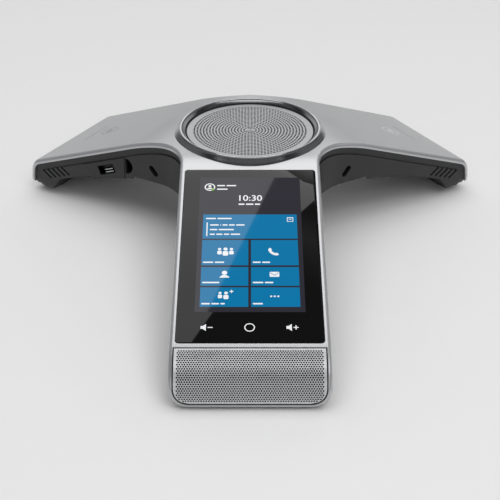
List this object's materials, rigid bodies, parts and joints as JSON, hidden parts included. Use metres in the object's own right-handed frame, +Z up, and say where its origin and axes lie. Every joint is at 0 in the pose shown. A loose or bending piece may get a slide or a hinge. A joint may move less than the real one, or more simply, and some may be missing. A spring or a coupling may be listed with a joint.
{
  "type": "desk ip phone",
  "caption": "Y-shaped desk conference phone: central loudspeaker under a raised ring, sloping touch display on the front arm, two microphone arms behind, arched underside.",
  "frame": {"origin": "middle of the footprint, on the surface the feet rest on", "axes": "+Z up; the display arm points along -Y, towards the user; +X to the right of the user"},
  "size_m": [0.316, 0.3284, 0.0707],
  "materials": {
    "silver_paint": "satin silver paint on moulded plastic",
    "dark_plastic": "fine moulded texture",
    "dark_gloss": "semi-gloss",
    "ring_metal": "polished",
    "grille_sheet": "perforated, dark coating",
    "acoustic_cloth": "open weave",
    "cover_glass": "polished, printed black behind",
    "display": "colour display module",
    "circuit_board": "solder mask",
    "steel": "plated",
    "ferrite": "ground ferrite",
    "copper": "enamelled winding",
    "cone_paper": "pressed paper",
    "rubber": "soft",
    "mic_metal": "drawn can",
    "light_guide": "frosted"
  },
  "bodies": {
    "phone_body": {"board_screws": "steel", "display_frame": "dark_plastic", "display_module": "display", "expansion_jack_left": "dark_plastic", "expansion_jack_right": "dark_plastic", "foot_front": "rubber", "foot_left": "rubber", "foot_right": "rubber", "housing_screws": "steel", "lower_housing": "dark_plastic", "main_board": "circuit_board", "microphone_boot_front": "rubber", "microphone_boot_left": "rubber", "microphone_boot_right": "rubber", "microphone_front": "mic_metal", "microphone_left": "mic_metal", "microphone_right": "mic_metal", "mute_light_left": "light_guide", "mute_light_right": "light_guide", "mute_touch_board_left": "circuit_board", "mute_touch_board_right": "circuit_board", "network_board": "circuit_board", "network_socket": "dark_plastic", "nose_carrier": "dark_plastic", "nose_cloth": "acoustic_cloth", "nose_grille": "grille_sheet", "port_panel": "dark_gloss", "shield_can": "steel", "side_recess_cup": "dark_plastic", "speaker_baffle": "dark_plastic", "speaker_basket": "steel", "speaker_cloth": "acoustic_cloth", "speaker_enclosure": "dark_plastic", "speaker_front_plate": "steel", "speaker_gasket": "rubber", "speaker_grille": "grille_sheet", "speaker_magnet": "ferrite", "speaker_screws": "steel", "speaker_spider": "cone_paper", "speaker_surround": "rubber", "speaker_trim_ring": "ring_metal", "speaker_yoke": "steel", "top_shell": "silver_paint", "touch_glass": "cover_glass", "touch_key_board": "circuit_board", "usb_board": "circuit_board", "usb_socket": "steel", "usb_tongue": "dark_plastic"},
    "cone_assembly": {"voice_coil": "copper", "speaker_cone": "cone_paper", "speaker_dust_cap": "cone_paper"}
  },
  "joints": [
    {"name": "cone_travel", "type": "slide", "parent": "phone_body", "child": "cone_assembly", "axis": [0, 0, 1], "range_m": [-0.002, 0.002], "stiffness_N_per_m": 1000, "deforming": ["speaker_surround", "speaker_spider"]}
  ]
}
